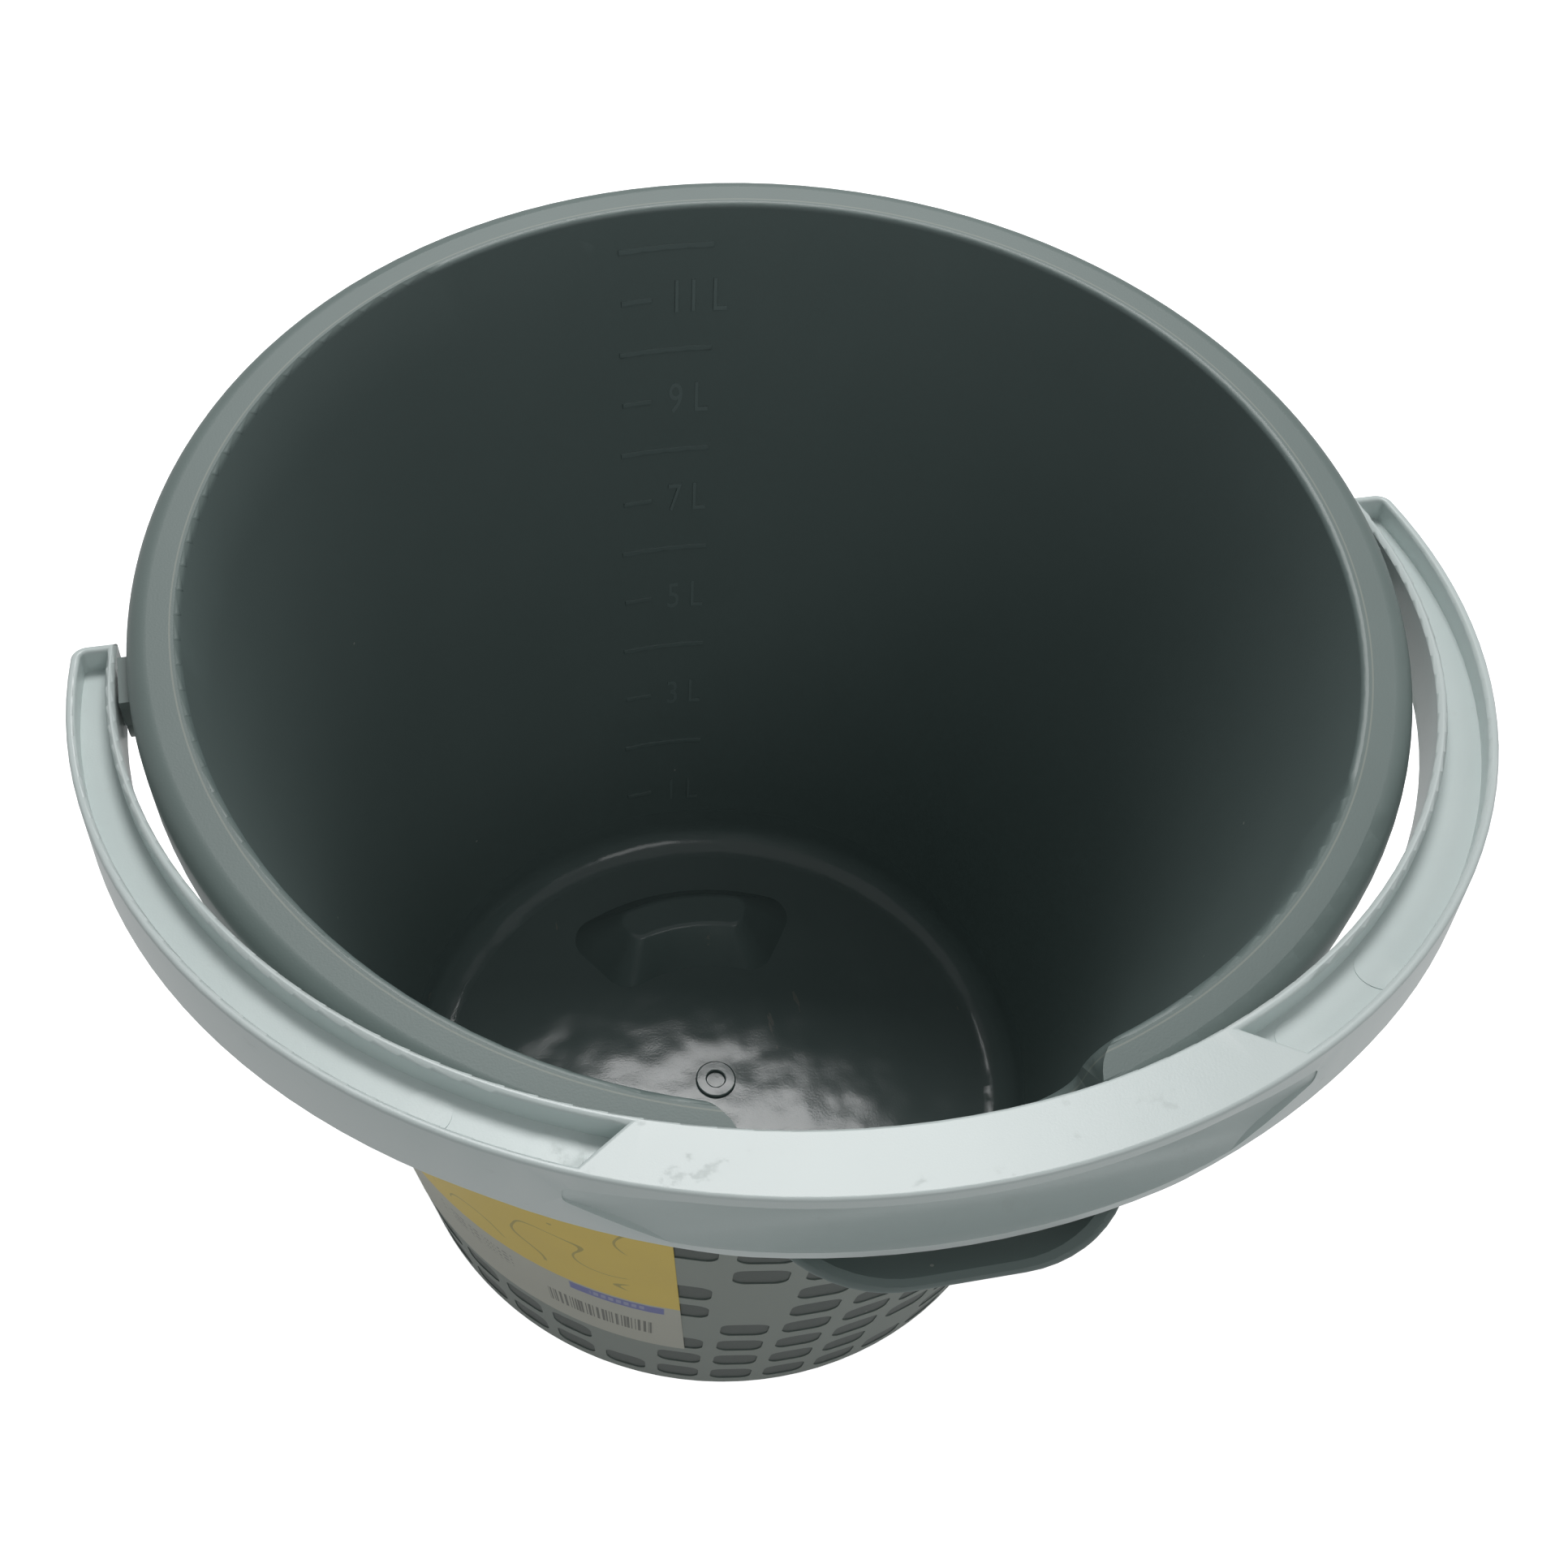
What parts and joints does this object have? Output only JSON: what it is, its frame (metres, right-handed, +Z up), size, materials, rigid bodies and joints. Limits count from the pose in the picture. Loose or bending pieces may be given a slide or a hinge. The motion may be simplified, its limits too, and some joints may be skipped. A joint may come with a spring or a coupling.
{
  "type": "bucket",
  "caption": "Tapered plastic household bucket with a pour spout, a swinging bail handle, a litre scale inside and a paper label.",
  "frame": {"origin": "on the bucket's axis, at the level of the foot ring it stands on", "axes": "+Z up along the bucket's axis, -Y towards the pour spout, X along the handle's pivot axis"},
  "size_m": [0.3394, 0.3362, 0.2922],
  "materials": {
    "bucket_plastic": "satin moulded polypropylene, dark grey-green",
    "handle_plastic": "satin moulded polypropylene, pale grey",
    "label_paper": "printed sticker with a yellow field over an off-white one"
  },
  "bodies": {
    "bucket": {"bucket_body": "bucket_plastic", "product_label": "label_paper"},
    "handle": {"bail_handle": "handle_plastic"}
  },
  "joints": [
    {"name": "handle_swing", "type": "hinge", "parent": "bucket", "child": "handle", "pos_m": [0, 0, 0.251], "axis": [-1, 0, 0], "range_deg": [0, 200]}
  ]
}
